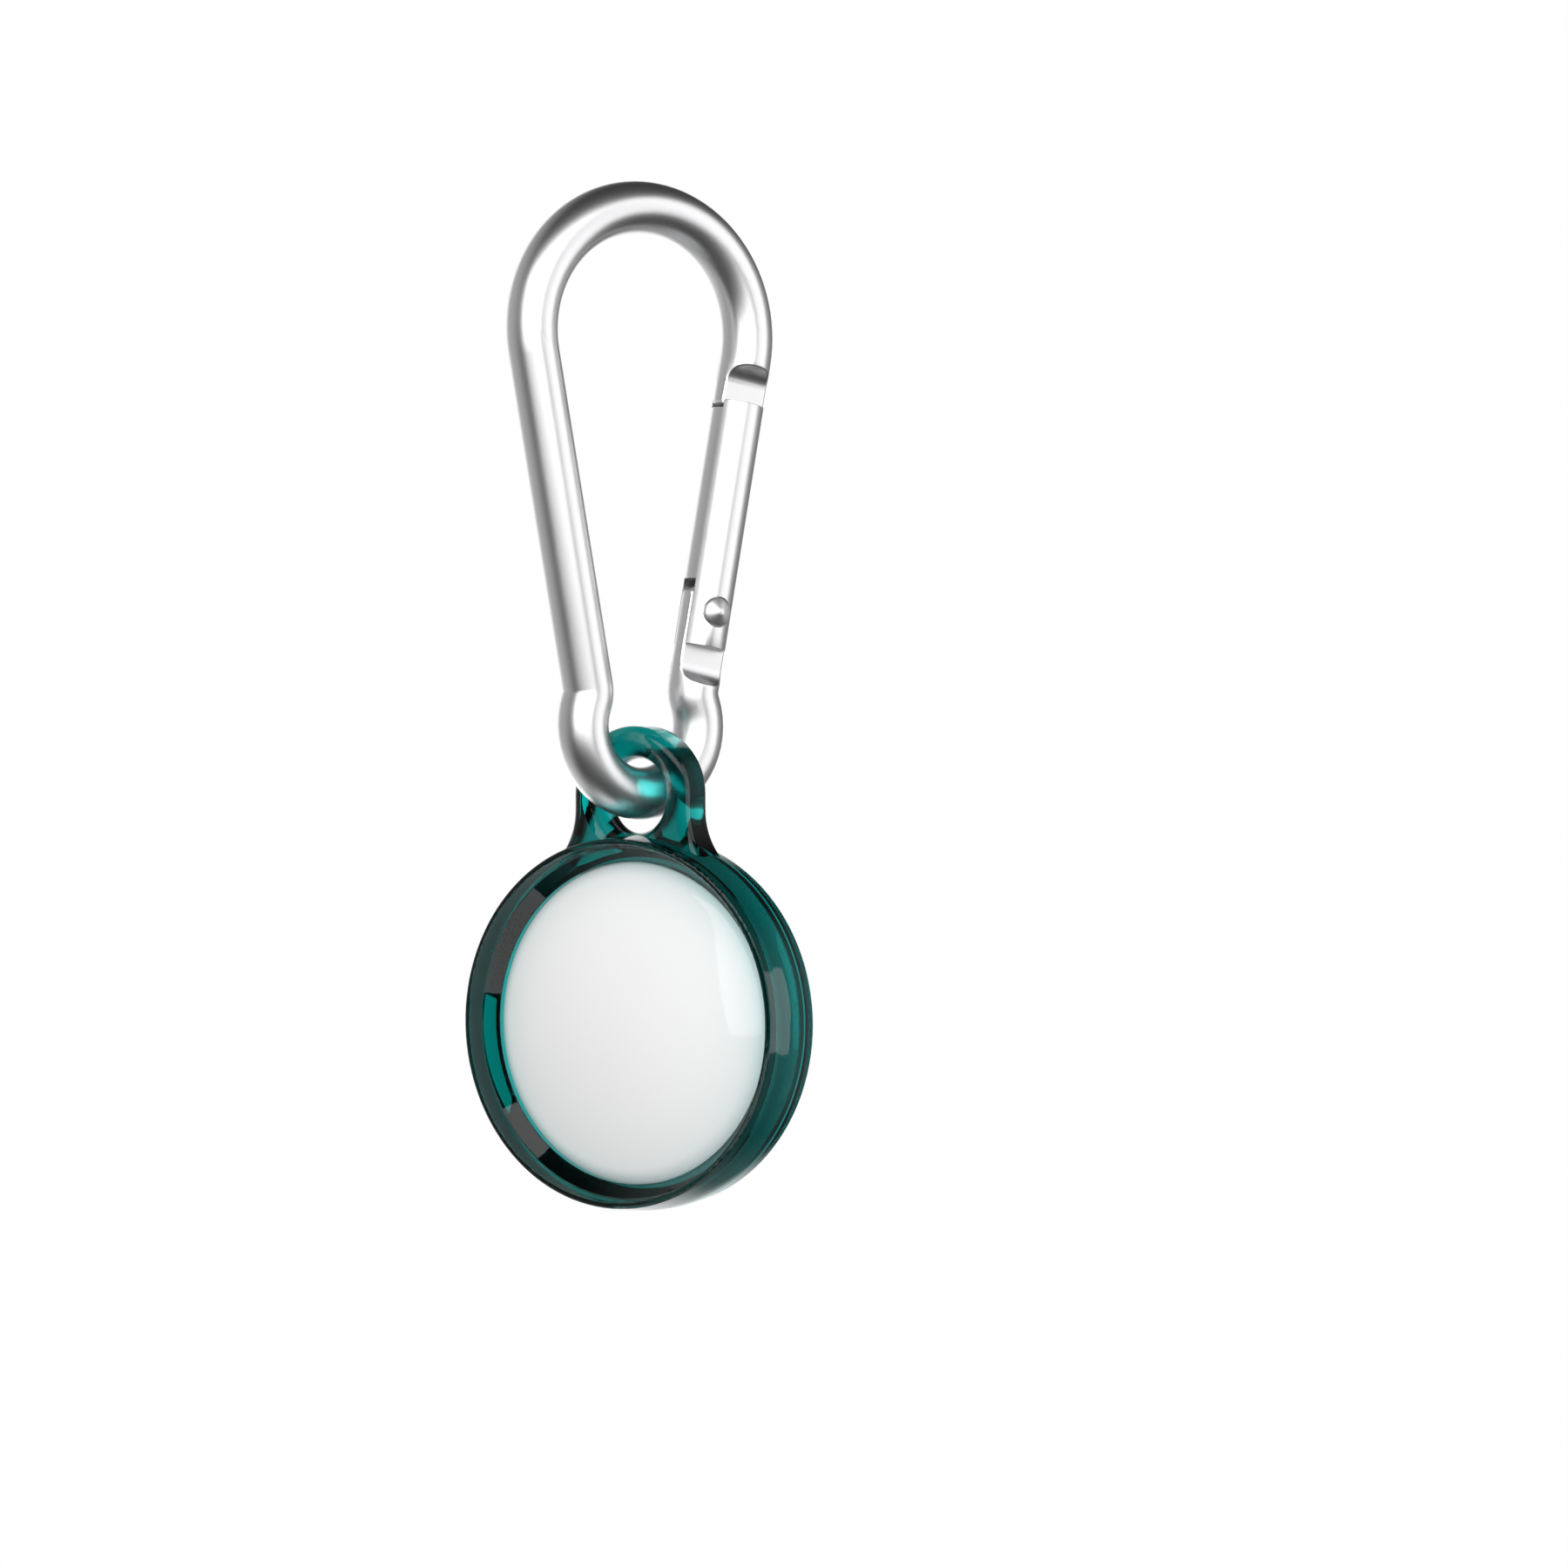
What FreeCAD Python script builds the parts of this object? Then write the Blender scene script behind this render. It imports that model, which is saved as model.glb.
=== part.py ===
import FreeCAD, Part
import math
import os

# Tracker tag holder: a gourd-shaped carabiner with a spring gate, and a moulded ring case
# that hangs on its lower loop and holds a round tracker tag.
# Frame: the carabiner lies in the XZ plane with its gate on the +X side, +Z is up, and the
# origin is the inside of the top loop, where the holder hangs on a strap or a ring.

# Carabiner bar
rod_d = 4.9
top_eye_r = 9.45
low_eye_r = 3.9
loop_spacing = 36.9
neck_inner_r = 0.3
neck_nip = 0.55

# Milled tongues of the carabiner body
tongue_t = 1.8
flat_run = 3.5
cutter_r = 1.8

# Gate, between the body's nose and foot
nose_len = 4.15
foot_len = 3.87
ear_clear = 0.1
nose_slot_depth = 4.2
nose_end_gap = 0.35
web_t = 1.0
web_drop = 0.75
web_clear = 0.15
shoulder_gap = 0.25
shoulder_r = 0.3

# Pivot rivet and the cam end of the lower tongue
rivet_from_end = 3.4
rivet_d = 1.6
rivet_head_d = 2.84
rivet_head_h = 1.2
rivet_seat = 0.45
rivet_head_clear = 0.06
rivet_ear_clear = 0.015
rivet_run_clear = 0.05
cam_offset = 0.5
slot_floor_gap = 0.45

# Spring and plunger in the gate's bore
bore_d = 2.2
plunger_clear = 0.05
plunger_len = 2.4
plunger_gap = 0.05
spigot_d = 0.9
spigot_len = 0.7
spring_len = 6.0
spring_wire_d = 0.3
spring_turns = 6
spring_side_gap = 0.06
spring_end_gap = 0.02

# Coin cell, which sets the size of the tag
cell_r = 10.0
cell_t = 3.2
cell_gap = 0.08
cell_step = 0.4
cap_step = 1.8

# Tray with the cell's well, and the rim around the cover
well_gap = 0.3
well_t = 0.8
floor_t = 0.4
floor_hole_r = 1.5
contact_gap = 0.25
shelf_t = 0.8
spigot_wall = 0.6
spigot_rise = 0.4
shell_fit = 0.12
tag_rim = 3.05
rim_step = 0.11

# Battery cover with its bayonet ring
tag_back = 4.0
cover_t = 0.4
cover_sag = 0.9
skirt_len = 0.6
cover_clear = 0.1
ring_room = 1.2
ring_w = 0.95
ring_t = 0.9
ring_gap = 0.05
lug_reach = 1.1
lug_t = 0.5
lug_half_deg = 6.0
lug_clear = 0.1
lug_count = 3
twist_deg = 18.0
seal_t = 0.25

# Front shell of the tag
board_head = 0.382
dome_r = 45.0
tag_edge_r = 3.2
shell_t = 0.9

# Contacts, board and sounder
contact_w = 1.6
contact_reach = 2.4
contact_edge = 0.1
contact_t = 0.15
contact_count = 3
contact_clear = 0.3
side_contact_w = 2.0
side_contact_len = 1.6
board_t = 0.4
board_gap = 0.6
board_over = 0.1
chip_long = 3.0
chip_wide = 2.6
chip_tall = 0.5
chip_shares = [(1.0, 1.0, 1.0, 0), (0.73, 0.85, 0.9, 62), (0.53, 1.0, 0.7, 118), (0.87, 0.7, 0.8, 182),
               (0.47, 0.54, 0.6, 238), (0.67, 1.08, 1.0, 296)]
cup_t = 0.35
cup_h = 1.3
magnet_r = 3.1
magnet_h = 1.0
coil_t = 0.5
coil_gap = 0.2
antenna_in_gap = 0.3
antenna_out_gap = 0.55
antenna_h = 1.0

# Moulded case around the tag
case_turn = -66.0
case_wall = 1.8
wall_draft = 0.45
wall_crown = 12.0
crest_stand = 0.3
back_stand = 0.1
lip_cover = 0.8
lip_t = 0.48
lip_round = 0.15
bezel_in = 0.85
bezel_rise = 1.054
crest_w = 0.5
crest_round_share = 0.28
rim_round_share = 0.62
back_round = 1.4
back_margin = 0.9
back_lip_t = 0.5
tag_gap = 0.05

# Loop tab of the case, which has to fit the carabiner's low eye
tab_share = 1.128
play_share = 0.2387
seat_share = 0.81
tab_wall = 2.9
tab_stand = 3.6
arch_lift = 0.15
tab_edge_share = 0.36
hole_bow_share = 0.52
mouth_share = 0.505
tab_flare_r = 6.5
tab_root = 0.8
flare_sink = 0.4

V = FreeCAD.Vector
ORIGIN = V(0, 0, 0)
X_AXIS = V(1, 0, 0)
Y_AXIS = V(0, 1, 0)
Z_AXIS = V(0, 0, 1)

# Values worked out from the sizes above
rod_r = rod_d / 2
top_loop_r = top_eye_r + rod_r
low_loop_r = low_eye_r + rod_r
neck_bend_r = neck_inner_r + rod_r
top_z = rod_r - top_loop_r
low_z = top_z - loop_spacing
neck_x = low_loop_r - neck_nip + neck_bend_r
neck_z = low_z + math.sqrt((low_loop_r + neck_bend_r) ** 2 - neck_x ** 2)
neck_turn = math.atan2(neck_z - low_z, neck_x)
drop = math.hypot(neck_x, top_z - neck_z)
lean = math.atan2(top_z - neck_z, neck_x) - math.acos((top_loop_r + neck_bend_r) / drop)
leg_len = math.sqrt(drop ** 2 - (top_loop_r + neck_bend_r) ** 2)
leg_top = V(top_loop_r * math.cos(lean), 0, top_z - top_loop_r * math.sin(lean))
leg_down = V(-math.sin(lean), 0, -math.cos(lean))
gate_len = leg_len - nose_len - foot_len
pivot_drop = nose_len + gate_len - rivet_from_end
pivot = leg_top + leg_down * pivot_drop
gate_top = gate_len - rivet_from_end
gate_end = -rivet_from_end
slot_half = tongue_t / 2 + ear_clear
slot_floor = rod_r + slot_floor_gap
nose_floor = gate_top - nose_slot_depth
finger_end = nose_floor + nose_end_gap
web_top = gate_top - web_drop
shoulder_z = web_top + shoulder_gap
web_face = -(rod_r - web_t)
plunger_foot = rod_r + plunger_gap
plunger_top = plunger_foot + plunger_len
bore_end = plunger_top + spring_len
spot_face = rod_r - rivet_seat
far = 4 * rod_d

cell_cap_r = cell_r - cap_step
well_r = cell_r + well_gap
well_out_r = well_r + well_t
ring_in_r = well_r + ring_room
ring_out_r = ring_in_r + ring_w
cover_r = ring_out_r + ring_gap + cover_t
cover_hole_r = cover_r + cover_clear
groove_r = ring_out_r + lug_reach + lug_clear
tag_r = cover_r + tag_rim
cover_dome_r = (cover_r ** 2 + cover_sag ** 2) / (2 * cover_sag)
cover_dome_w = cover_dome_r - tag_back
cover_rim_w = cover_sag - tag_back


def cover_inside(r):
    return cover_dome_w - math.sqrt((cover_dome_r - cover_t) ** 2 - r ** 2)


ring_back_w = cover_inside(ring_out_r) + ring_gap
ring_front_w = ring_back_w + ring_t
lug_back_w = ring_front_w - lug_t
groove_w = lug_back_w - lug_clear
shelf_w = ring_front_w + ring_gap + seal_t
shelf_front_w = shelf_w + shelf_t
spigot_top_w = shelf_front_w + spigot_rise
cell_back_w = cover_inside(cell_r) + cell_gap
cell_front_w = cell_back_w + cell_t
floor_w = cell_front_w + contact_gap
board_w = floor_w + floor_t
board_front_w = board_w + board_t
cup_r = magnet_r + coil_gap + coil_t + coil_gap + cup_t
board_in_r = cup_r + board_gap
board_out_r = well_out_r + board_over
dome_w = board_front_w + board_head - math.sqrt((dome_r - shell_t) ** 2 - board_out_r ** 2)
tag_front = dome_w + dome_r
edge_w = dome_w + math.sqrt((dome_r - tag_edge_r) ** 2 - (tag_r - tag_edge_r) ** 2)
back_w = cover_rim_w + rim_step
back_edge_r = edge_w - back_w
spigot_r = (tag_r - tag_edge_r - shell_fit
            + math.sqrt((tag_edge_r - shell_t) ** 2 - (spigot_top_w - edge_w) ** 2))
coil_in_r = magnet_r + coil_gap
coil_out_r = coil_in_r + coil_t
chip_place_r = (board_in_r + board_out_r) / 2
contact_place_r = cell_cap_r - contact_edge - contact_reach / 2


def shell_inside(r):
    return dome_w + math.sqrt((dome_r - shell_t) ** 2 - r ** 2)


case_r = tag_r + case_wall
rim_r = case_r - wall_draft
window_r = tag_r - lip_cover
lip_w = edge_w + math.sqrt((tag_edge_r + tag_gap) ** 2 - (window_r - tag_r + tag_edge_r) ** 2) + lip_t
bezel_r = rim_r - bezel_in
bezel_w = lip_w + bezel_rise
crest_r = rim_r - crest_w
front_crest_w = tag_front + crest_stand
back_crest_w = -tag_back - back_stand
back_window_r = cover_r + back_margin
back_lip_w = back_w - tag_gap - back_lip_t
tab_t = tab_share * low_eye_r
hole_play = play_share * tab_t
tab_hole_r = rod_r + hole_play
tab_arch_r = tab_hole_r + tab_wall
tab_rise = case_r + tab_stand
arch_rise = tab_rise + arch_lift
hole_bow_r = hole_bow_share * tab_t
wire_z = low_z - low_loop_r
hole_z = wire_z - (1 - seat_share) * hole_play
tag_z = hole_z - tab_rise


def line(a, b):
    return Part.LineSegment(a, b).toShape()


def arc(a, middle, b):
    return Part.Arc(a, middle, b).toShape()


def flat(x, z):
    return V(x, 0, z)


def on_circle(cx, cz, r, angle):
    return flat(cx + r * math.cos(angle), cz + r * math.sin(angle))


def arc_about(cx, cz, r, start, end):
    """Arc in the XZ plane about a centre, between two angles."""
    return arc(on_circle(cx, cz, r, start), on_circle(cx, cz, r, (start + end) / 2), on_circle(cx, cz, r, end))


def rounded_face(corners):
    """Face in the XZ plane from corners (x, z, radius), each corner rounded by its radius."""
    starts, ends, middles = [], [], []
    count = len(corners)
    for i, (x, z, r) in enumerate(corners):
        here = flat(x, z)
        before = (flat(*corners[i - 1][:2]) - here).normalize()
        after = (flat(*corners[(i + 1) % count][:2]) - here).normalize()
        half = before.getAngle(after) / 2
        starts.append(here + before * (r / math.tan(half)))
        ends.append(here + after * (r / math.tan(half)))
        middles.append(here + (before + after).normalize() * (r / math.sin(half) - r) if r else None)
    edges = []
    for i in range(count):
        if middles[i] is not None:
            edges.append(arc(starts[i], middles[i], ends[i]))
        edges.append(line(ends[i], starts[(i + 1) % count]))
    return Part.Face(Part.Wire(edges))


def turned(face):
    """Solid of revolution about the Z axis."""
    return face.revolve(ORIGIN, Z_AXIS, 360)


def band(r_in, r_out, w_low, w_high):
    """Ring of rectangular section about the Z axis."""
    return turned(rounded_face([(r_in, w_low, 0), (r_out, w_low, 0), (r_out, w_high, 0), (r_in, w_high, 0)]))


def block(x_low, x_high, y_low, y_high, z_low, z_high):
    return Part.makeBox(x_high - x_low, y_high - y_low, z_high - z_low, V(x_low, y_low, z_low))


def slab(face, half_width):
    """A face in the XZ plane made into a slab, centred across Y."""
    return face.translated(V(0, -half_width, 0)).extrude(V(0, 2 * half_width, 0))


def bar(start, end):
    return Part.makeCylinder(rod_r, (end - start).Length, start, end - start)


def bend(center, start, degrees):
    """Bar bent in the XZ plane about a centre, counter-clockwise seen from the front."""
    radius = start - center
    tangent = V(-radius.z, 0, radius.x)
    section = Part.Face(Part.Wire(Part.makeCircle(rod_r, start, tangent)))
    return section.revolve(center, V(0, -1, 0), degrees)


leg_place = FreeCAD.Placement(pivot, FreeCAD.Rotation(Y_AXIS, math.degrees(lean)))
tag_place = FreeCAD.Placement(V(0, 0, tag_z),
                              FreeCAD.Rotation(Z_AXIS, case_turn) * FreeCAD.Rotation(X_AXIS, 90))


def on_leg(shape):
    """Moves a piece from the leg's frame, pivot at zero and Z up the leg, to its place."""
    return shape.transformed(leg_place.toMatrix(), True)


def on_tag(shape):
    """Moves a piece from the tag's frame, Y up and Z out of its face, to its place."""
    return shape.transformed(tag_place.toMatrix(), True)


def flats_cutter(root_z, toward):
    """Cuts both flats of a tongue, from far away up to root_z, with the cutter's run-out there."""
    side = tongue_t / 2
    near = root_z - toward * cutter_r
    low, high = sorted([near, near - toward * far])
    tools = []
    for sign in (1, -1):
        y_low, y_high = sorted([sign * side, sign * (side + far)])
        tools.append(block(-far, far, y_low, y_high, low, high))
        center = V(-far, sign * (side + cutter_r), near)
        tools.append(Part.makeCylinder(cutter_r, 2 * far, center, X_AXIS))
        outer_low, outer_high = sorted([sign * (side + cutter_r), sign * (side + far)])
        tools.append(block(-far, far, outer_low, outer_high, *sorted([near, root_z])))
    return tools


def carabiner_nose():
    """Upper end of the opening, in the leg's frame: tongue, shoulder and finger."""
    nose = Part.makeCylinder(rod_r, pivot_drop - finger_end, V(0, 0, finger_end))
    inner_face = web_face + web_clear
    notch = rounded_face([(inner_face, finger_end - far, 0), (inner_face, shoulder_z, 0),
                          (-rod_r - shoulder_r, shoulder_z, 0), (-rod_r - shoulder_r, finger_end - far, 0)])
    corner = rounded_face([(-rod_r, shoulder_z, 0), (-rod_r + shoulder_r, shoulder_z, 0),
                           (-rod_r, shoulder_z + shoulder_r, 0)])
    tools = flats_cutter(gate_top + flat_run, 1)
    return nose.cut(tools + [slab(notch, far), slab(corner, far)])


def carabiner_foot():
    """Lower end of the opening, in the leg's frame: tongue with its cam end and rivet hole."""
    bottom = pivot_drop - leg_len
    foot = Part.makeCylinder(rod_r, rod_r - bottom, V(0, 0, bottom))
    cam = Part.Face(Part.Wire([
        line(flat(-far, bottom), flat(far, bottom)),
        line(flat(far, bottom), flat(far, 0)),
        line(flat(far, 0), flat(rod_r, 0)),
        arc_about(0, 0, rod_r, 0, math.pi / 2),
        line(flat(0, rod_r), flat(-cam_offset, rod_r)),
        arc_about(-cam_offset, 0, rod_r, math.pi / 2, math.pi),
        line(flat(-cam_offset - rod_r, 0), flat(-far, 0)),
        line(flat(-far, 0), flat(-far, bottom))]))
    hole = Part.makeCylinder(rivet_d / 2 + rivet_run_clear, 2 * far, V(0, -far, 0), Y_AXIS)
    return foot.common(slab(cam, far)).cut(flats_cutter(gate_end - flat_run, -1) + [hole])


def carabiner_body():
    top_center = flat(0, top_z)
    low_center = flat(0, low_z)
    leg_bottom = leg_top + leg_down * leg_len
    neck_center = flat(neck_x, neck_z)
    loop_start = on_circle(0, low_z, low_loop_r, neck_turn)
    neck = bend(neck_center, leg_bottom, math.degrees(lean + neck_turn))
    left_top = V(-leg_top.x, 0, leg_top.z)
    left_bottom = V(-leg_bottom.x, 0, leg_bottom.z)
    pieces = [
        bend(top_center, leg_top, 180 + 2 * math.degrees(lean)),
        bar(left_top, left_bottom),
        neck.mirror(ORIGIN, X_AXIS),
        bend(low_center, V(-loop_start.x, 0, loop_start.z), 180 + 2 * math.degrees(neck_turn)),
        neck,
        on_leg(carabiner_foot()),
    ]
    return on_leg(carabiner_nose()).multiFuse(pieces).removeSplitter()


def carabiner_gate():
    gate = Part.makeCylinder(rod_r, gate_len, V(0, 0, gate_end))
    cuts = [
        block(-far, far, -slot_half, slot_half, gate_end - far, slot_floor),
        block(web_face, far, -slot_half, slot_half, nose_floor, gate_top + far),
        block(-far, far, -slot_half, slot_half, web_top, gate_top + far),
        Part.makeCylinder(bore_d / 2, bore_end - slot_floor + rod_r, V(0, 0, slot_floor - rod_r)),
        Part.makeCylinder(rivet_d / 2 + rivet_ear_clear, 2 * far, V(0, -far, 0), Y_AXIS),
    ]
    for sign in (1, -1):
        cuts.append(Part.makeCylinder(rivet_head_d / 2 + rivet_head_clear, far,
                                      V(0, sign * spot_face, 0), V(0, sign, 0)))
    return gate.cut(cuts)


def gate_rivet():
    head_r = rivet_head_d / 2
    ball_r = (head_r ** 2 + rivet_head_h ** 2) / (2 * rivet_head_h)
    rivet = Part.makeCylinder(rivet_d / 2, 2 * spot_face, V(0, -spot_face, 0), Y_AXIS)
    for sign in (1, -1):
        ball = Part.makeSphere(ball_r, V(0, sign * (spot_face + rivet_head_h - ball_r), 0))
        keep = Part.makeCylinder(far, far, V(0, sign * spot_face, 0), V(0, sign, 0))
        rivet = rivet.fuse(ball.common(keep))
    return rivet.removeSplitter()


def gate_plunger():
    pin = Part.makeCylinder(bore_d / 2 - plunger_clear, plunger_len, V(0, 0, plunger_foot))
    spigot = Part.makeCylinder(spigot_d / 2, spigot_len, V(0, 0, plunger_top))
    return pin.fuse(spigot).removeSplitter()


def biarc(start, start_dir, end, end_dir):
    """Two arcs that join smoothly and leave and arrive in the given directions."""
    chord = end - start
    both = start_dir + end_dir
    a = 2 * start_dir.dot(end_dir) - 2
    b = -2 * chord.dot(both)
    c = chord.dot(chord)
    reach = (-b - math.sqrt(b * b - 4 * a * c)) / (2 * a)
    joint = (start + end + (start_dir - end_dir) * reach) / 2
    edges = []
    for p, q, direction in ((start, joint, start_dir), (joint, end, (end - end_dir * reach - joint).normalize())):
        along = q - p
        unit = V(along).normalize()
        away = (direction - unit * direction.dot(unit)).normalize()
        rise = along.Length / 2 * math.tan(direction.getAngle(unit) / 2)
        edges.append(arc(p, p + along / 2 + away * rise, q))
    return edges


def gate_spring():
    """Coil spring as one tube on a helix, in quarter turns."""
    wire_r = spring_wire_d / 2
    coil_r = bore_d / 2 - spring_side_gap - wire_r
    low = plunger_top + wire_r + spring_end_gap
    pitch = (spring_len - spring_wire_d - 2 * spring_end_gap) / spring_turns

    def point(turn):
        angle = 2 * math.pi * turn
        return V(coil_r * math.cos(angle), coil_r * math.sin(angle), low + pitch * turn)

    def heading(turn):
        angle = 2 * math.pi * turn
        return V(-coil_r * math.sin(angle), coil_r * math.cos(angle), pitch / (2 * math.pi)).normalize()

    edges = []
    for quarter in range(4 * spring_turns):
        a, b = quarter / 4, (quarter + 1) / 4
        edges += biarc(point(a), heading(a), point(b), heading(b))
    section = Part.Wire(Part.makeCircle(wire_r, point(0), heading(0)))
    tube = Part.Wire(edges).makePipeShell([section], True, False)
    steps = [point(i / 24) for i in range(24 * spring_turns + 1)]
    nearest = min((p - q).Length for i, p in enumerate(steps) for q in steps[i + 12:])
    print("gate_spring least gap between turns %.3f mm" % (nearest - spring_wire_d))
    return tube


def tag_outline(grow):
    """Half section of the whole tag, grown by a clearance."""
    meet = math.atan2(edge_w - dome_w, tag_r - tag_edge_r)
    back = back_w - grow
    top = tag_front + grow
    return Part.Face(Part.Wire([
        arc_about(0, dome_w, dome_r + grow, math.pi / 2, meet),
        arc_about(tag_r - tag_edge_r, edge_w, tag_edge_r + grow, meet, 0),
        arc_about(tag_r - back_edge_r, edge_w, back_edge_r + grow, 0, -math.pi / 2),
        line(flat(tag_r - back_edge_r, back), flat(0, back)),
        line(flat(0, back), flat(0, top))]))


def loop_tab():
    """Loop tab of the case: arch, straight sides and flares that run out inside the ring's wall."""
    sunk_r = case_r - flare_sink
    flare_x = tab_arch_r + tab_flare_r
    flare_y = math.sqrt((sunk_r + tab_flare_r) ** 2 - flare_x ** 2)
    flare_turn = math.atan2(flare_y, flare_x)
    outline = Part.Wire([
        arc_about(0, 0, sunk_r, math.pi - flare_turn, 2 * math.pi + flare_turn),
        arc_about(flare_x, flare_y, tab_flare_r, math.pi + flare_turn, math.pi),
        line(flat(tab_arch_r, flare_y), flat(tab_arch_r, arch_rise)),
        arc_about(0, arch_rise, tab_arch_r, 0, math.pi),
        line(flat(-tab_arch_r, arch_rise), flat(-tab_arch_r, flare_y)),
        arc_about(-flare_x, flare_y, tab_flare_r, 0, -flare_turn)])
    plate = slab(Part.Face(outline), tab_t / 2)
    rim = [e for e in plate.Edges if abs(abs(e.CenterOfMass.y) - tab_t / 2) < 1e-6]
    plate = plate.makeFillet(tab_edge_share * tab_wall, rim)
    reach = mouth_share * tab_t
    mouth = tab_hole_r + hole_bow_r - math.sqrt(hole_bow_r ** 2 - reach ** 2)
    throat = turned(Part.Face(Part.Wire([
        line(flat(0, -reach), flat(mouth, -reach)),
        arc(flat(mouth, -reach), flat(tab_hole_r, 0), flat(mouth, reach)),
        line(flat(mouth, reach), flat(0, reach)),
        line(flat(0, reach), flat(0, -reach))])))
    plate = plate.cut(throat.rotated(ORIGIN, X_AXIS, 90).translated(V(0, 0, tab_rise)))
    tab = plate.cut(Part.makeCylinder(case_r - tab_root, 2 * tab_t, V(0, -tab_t, 0), Y_AXIS))
    return tab.rotated(ORIGIN, X_AXIS, -90)


def holder_case():
    ring = turned(rounded_face([
        (window_r, 0, 0),
        (window_r, lip_w, lip_round),
        (bezel_r, bezel_w, lip_round),
        (crest_r, front_crest_w, crest_round_share * crest_w),
        (rim_r, front_crest_w, rim_round_share * crest_w),
        (case_r, 0, wall_crown),
        (rim_r, back_crest_w, back_round),
        (back_window_r, back_lip_w, lip_round),
        (back_window_r, 0, 0)]))
    return ring.fuse(loop_tab()).removeSplitter().cut(turned(tag_outline(tag_gap)))


def tag_front_shell():
    meet = math.atan2(edge_w - dome_w, tag_r - tag_edge_r)
    side = tag_r - tag_edge_r
    return turned(Part.Face(Part.Wire([
        arc_about(0, dome_w, dome_r, math.pi / 2, meet),
        arc_about(side, edge_w, tag_edge_r, meet, 0),
        line(flat(tag_r, edge_w), flat(tag_r - shell_t, edge_w)),
        arc_about(side, edge_w, tag_edge_r - shell_t, 0, meet),
        arc_about(0, dome_w, dome_r - shell_t, meet, math.pi / 2),
        line(flat(0, tag_front - shell_t), flat(0, tag_front))])))


def wedge(r_in, r_out, w_low, w_high, half_deg, at_deg):
    """Part of a ring, centred on one direction."""
    face = rounded_face([(r_in, w_low, 0), (r_out, w_low, 0), (r_out, w_high, 0), (r_in, w_high, 0)])
    return face.revolve(ORIGIN, Z_AXIS, 2 * half_deg).rotated(ORIGIN, Z_AXIS, at_deg - half_deg)


def around(count):
    return [360.0 * i / count for i in range(count)]


def rear_tray():
    side = tag_r - back_edge_r
    points = [
        flat(side, back_w), flat(cover_hole_r, back_w), flat(cover_hole_r, groove_w), flat(groove_r, groove_w),
        flat(groove_r, shelf_w), flat(well_r, shelf_w), flat(well_r, floor_w), flat(floor_hole_r, floor_w),
        flat(floor_hole_r, board_w), flat(well_out_r, board_w), flat(well_out_r, shelf_front_w),
        flat(spigot_r - spigot_wall, shelf_front_w), flat(spigot_r - spigot_wall, spigot_top_w),
        flat(spigot_r, spigot_top_w), flat(spigot_r, edge_w), flat(tag_r, edge_w)]
    edges = [line(a, b) for a, b in zip(points, points[1:])]
    edges.append(arc_about(side, edge_w, back_edge_r, 0, -math.pi / 2))
    tray = turned(Part.Face(Part.Wire(edges)))
    cuts = []
    for angle in around(lug_count):
        half = lug_half_deg + math.degrees(lug_clear / cover_r)
        cuts.append(wedge(cover_r, groove_r, back_w - back_edge_r, groove_w + lug_clear, half, angle - twist_deg))
    for angle in around(contact_count):
        half_w = contact_w / 2 + contact_clear
        slot = block(contact_place_r - contact_reach / 2 - contact_clear,
                     contact_place_r + contact_reach / 2 + contact_clear,
                     -half_w, half_w, floor_w - floor_t, board_w + floor_t)
        cuts.append(slot.rotated(ORIGIN, Z_AXIS, angle + 90))
    for angle in around(2):
        half_w = side_contact_w / 2 + contact_clear
        slot = block(cell_r - contact_clear, well_r + contact_clear, -half_w, half_w,
                     floor_w - floor_t, board_w + floor_t)
        cuts.append(slot.rotated(ORIGIN, Z_AXIS, angle))
    return tray.cut(cuts)


def battery_cover():
    rim = math.atan2(cover_rim_w - cover_dome_w, cover_r)
    inner_r = cover_r - cover_t
    inner = math.atan2(cover_inside(inner_r) - cover_dome_w, inner_r)
    skirt_w = cover_rim_w + skirt_len
    return turned(Part.Face(Part.Wire([
        arc_about(0, cover_dome_w, cover_dome_r, -math.pi / 2, rim),
        line(flat(cover_r, cover_rim_w), flat(cover_r, skirt_w)),
        line(flat(cover_r, skirt_w), flat(inner_r, skirt_w)),
        line(flat(inner_r, skirt_w), flat(inner_r, cover_inside(inner_r))),
        arc_about(0, cover_dome_w, cover_dome_r - cover_t, inner, -math.pi / 2),
        line(flat(0, cover_t - tag_back), flat(0, -tag_back))])))


def cover_ring():
    lugs = [wedge(ring_in_r + ring_w / 2, ring_out_r + lug_reach, lug_back_w, ring_front_w, lug_half_deg, angle)
            for angle in around(lug_count)]
    return band(ring_in_r, ring_out_r, ring_back_w, ring_front_w).multiFuse(lugs).removeSplitter()


def cover_seal():
    return band(ring_in_r, ring_out_r, shelf_w - seal_t, shelf_w)


def coin_cell():
    return turned(rounded_face([
        (0, cell_back_w, 0), (cell_r, cell_back_w, cell_step / 2),
        (cell_r, cell_front_w - cell_step, cell_step / 2), (cell_cap_r, cell_front_w - cell_step, 0),
        (cell_cap_r, cell_front_w, cell_step / 4), (0, cell_front_w, 0)]))


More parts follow.
